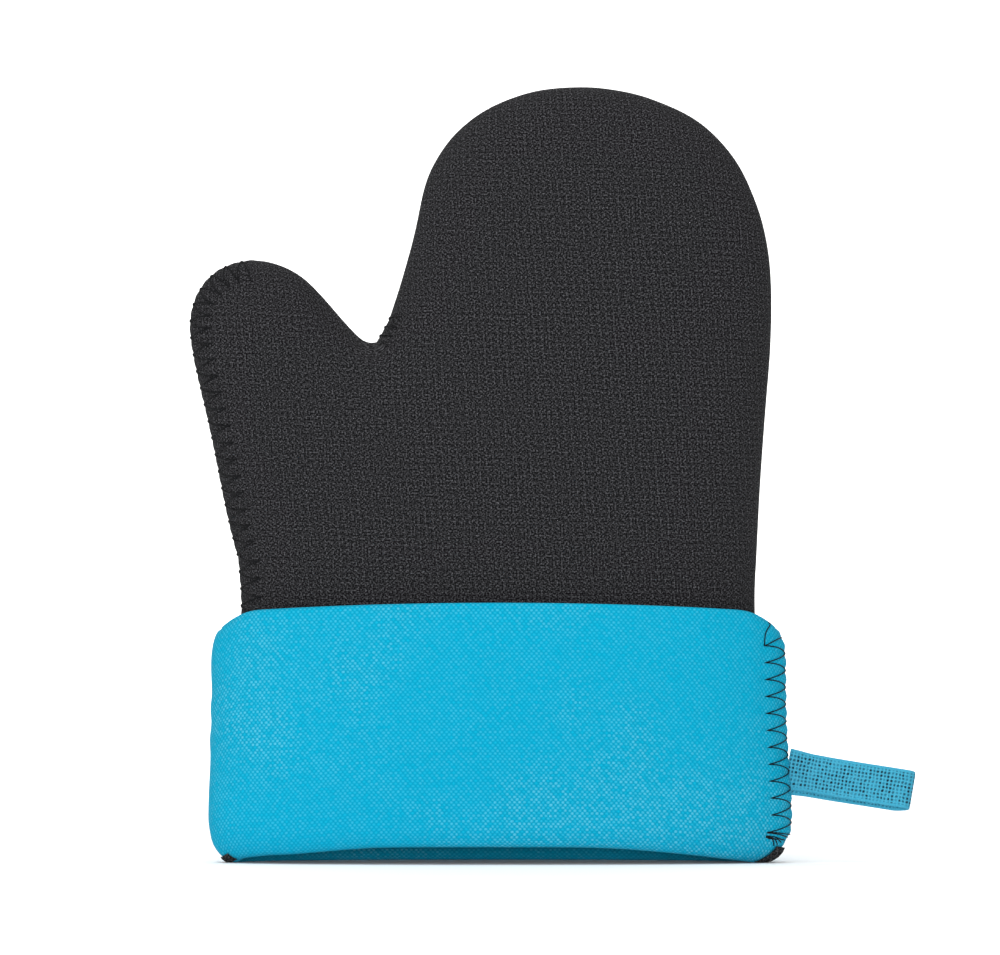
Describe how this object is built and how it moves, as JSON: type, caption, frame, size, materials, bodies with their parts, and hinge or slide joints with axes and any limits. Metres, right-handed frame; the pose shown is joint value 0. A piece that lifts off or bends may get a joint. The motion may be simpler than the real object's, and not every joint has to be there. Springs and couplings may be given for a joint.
{
  "type": "oven mitt",
  "caption": "Thumbed oven mitt with a padded knit shell, a turned-back lining cuff and a folded hanging loop at its edge.",
  "frame": {"origin": "middle of the mouth, on the plane that the fold of the cuff stands on", "axes": "+Z from the mouth to the fingertips, -Y towards the palm side, -X towards the thumb"},
  "size_m": [0.2201, 0.0546, 0.2365],
  "materials": {
    "knit_shell": "charcoal knit, matt",
    "foam": "grey insulating padding",
    "lining": "bright blue textured lining, matt",
    "loop_tape": "blue woven tape",
    "overlock_thread": "black sewing thread"
  },
  "bodies": {
    "hand": {"palm_shell_front": "knit_shell", "palm_foam_front": "foam", "palm_lining_front": "lining", "palm_shell_back": "knit_shell", "palm_foam_back": "foam", "palm_lining_back": "lining", "cuff_lining_front": "lining", "cuff_foam_front": "foam", "cuff_shell_front": "knit_shell", "cuff_lining_back": "lining", "cuff_foam_back": "foam", "cuff_shell_back": "knit_shell", "fold_lining_front": "lining", "fold_foam_front": "foam", "fold_shell_front": "knit_shell", "fold_lining_back": "lining", "fold_foam_back": "foam", "fold_shell_back": "knit_shell", "thread_wrist": "overlock_thread", "thread_crotch": "overlock_thread", "thread_cuff": "overlock_thread", "thread_backtack": "overlock_thread", "corner_tab_left": "knit_shell", "corner_tab_right": "knit_shell", "loop_root": "loop_tape"},
    "fingers": {"fingers_shell_front": "knit_shell", "fingers_foam_front": "foam", "fingers_lining_front": "lining", "fingers_shell_back": "knit_shell", "fingers_foam_back": "foam", "fingers_lining_back": "lining"},
    "thumb": {"thumb_shell_front": "knit_shell", "thumb_foam_front": "foam", "thumb_lining_front": "lining", "thumb_shell_back": "knit_shell", "thumb_foam_back": "foam", "thumb_lining_back": "lining", "thread_thumb": "overlock_thread"},
    "loop": {"loop_tape": "loop_tape"}
  },
  "joints": [
    {"name": "fingers_flex", "type": "hinge", "parent": "hand", "child": "fingers", "pos_m": [0, -0.0188, 0.1655], "axis": [1, 0, 0], "range_deg": [0, 60], "stiffness_Nm_per_rad": 0.15},
    {"name": "thumb_flex", "type": "hinge", "parent": "hand", "child": "thumb", "pos_m": [-0.05845, -0.0156, 0.12555], "axis": [0.5331, 0, 0.8461], "range_deg": [0, 45], "stiffness_Nm_per_rad": 0.08},
    {"name": "loop_swing", "type": "hinge", "parent": "hand", "child": "loop", "pos_m": [0.09245, 0, 0.028], "axis": [0.1736, 0, 0.9848], "range_deg": [-80, 80], "stiffness_Nm_per_rad": 0.004}
  ]
}
